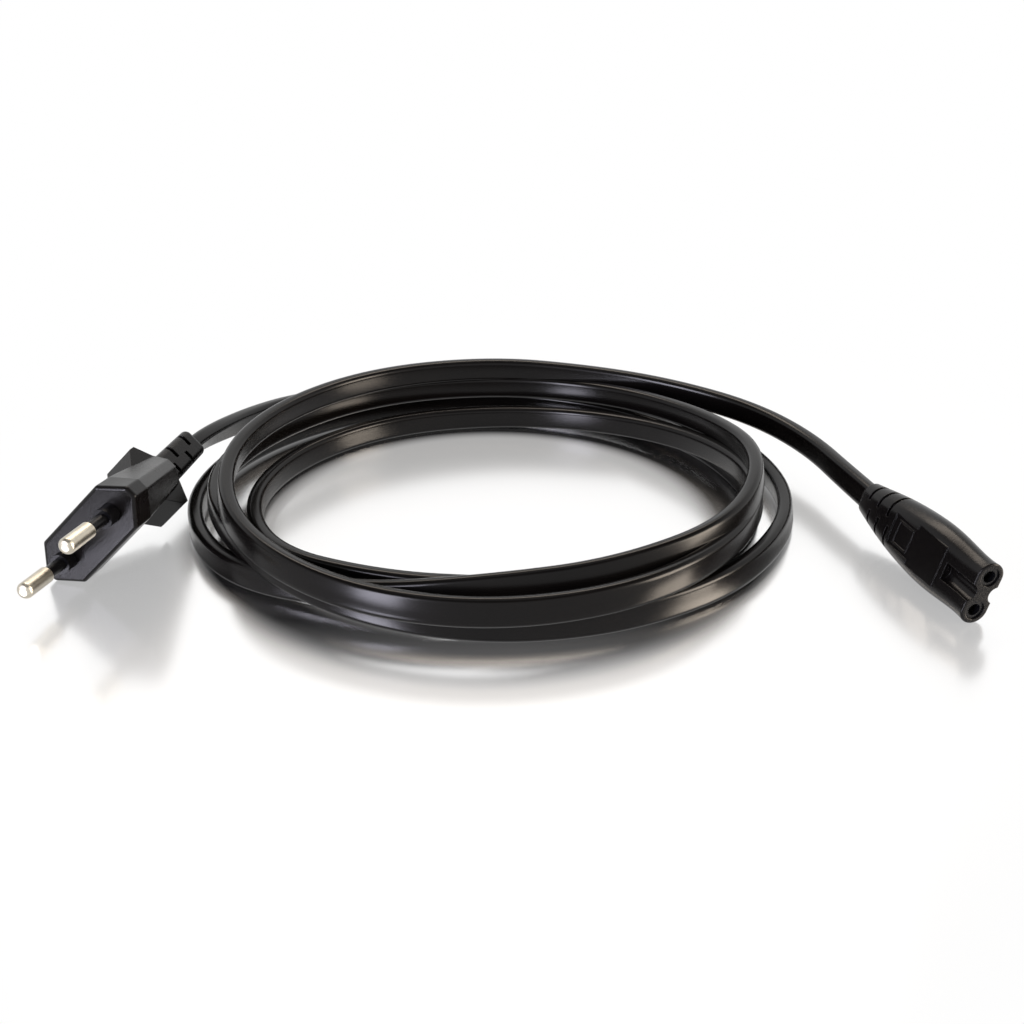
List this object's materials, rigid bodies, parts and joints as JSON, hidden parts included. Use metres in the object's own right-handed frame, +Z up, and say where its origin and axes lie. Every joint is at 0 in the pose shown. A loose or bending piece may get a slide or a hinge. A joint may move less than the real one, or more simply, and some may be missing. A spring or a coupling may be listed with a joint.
{
  "type": "figure-eight mains lead",
  "caption": "Mains lead with a moulded figure-eight socket connector, a loosely coiled flat cord and a moulded flat two-pin plug.",
  "frame": {"origin": "on the surface that the lead lies on, under the middle of the figure-eight connector", "axes": "+Z up; +Y from the connector's mouth towards its strain relief, along the surface; +X to the right when looking along +Y"},
  "size_m": [0.2154, 0.1796, 0.027],
  "materials": {
    "moulded_pvc": "satin black moulded soft plastic",
    "carrier_plastic": "black moulded hard plastic",
    "cord_sheath": "glossy black extruded soft plastic",
    "contact_metal": "turned",
    "pin_metal": "bright nickel plate",
    "core_brown": "extruded",
    "core_blue": "extruded",
    "copper": "bare stranded copper"
  },
  "bodies": {
    "root": {"connector_body": "moulded_pvc", "contact_carrier": "carrier_plastic", "contact_sleeve_1": "contact_metal", "contact_sleeve_2": "contact_metal", "connector_core_1": "core_brown", "connector_core_2": "core_blue", "connector_strands_1": "copper", "connector_strands_2": "copper", "connector_lead": "cord_sheath", "cord_coil": "cord_sheath", "plug_lead": "cord_sheath", "plug_body": "moulded_pvc", "pin_carrier": "carrier_plastic", "pin_1": "pin_metal", "pin_2": "pin_metal", "pin_sleeve_1": "carrier_plastic", "pin_sleeve_2": "carrier_plastic", "plug_core_1": "core_brown", "plug_core_2": "core_blue", "plug_strands_1": "copper", "plug_strands_2": "copper"}
  },
  "joints": []
}
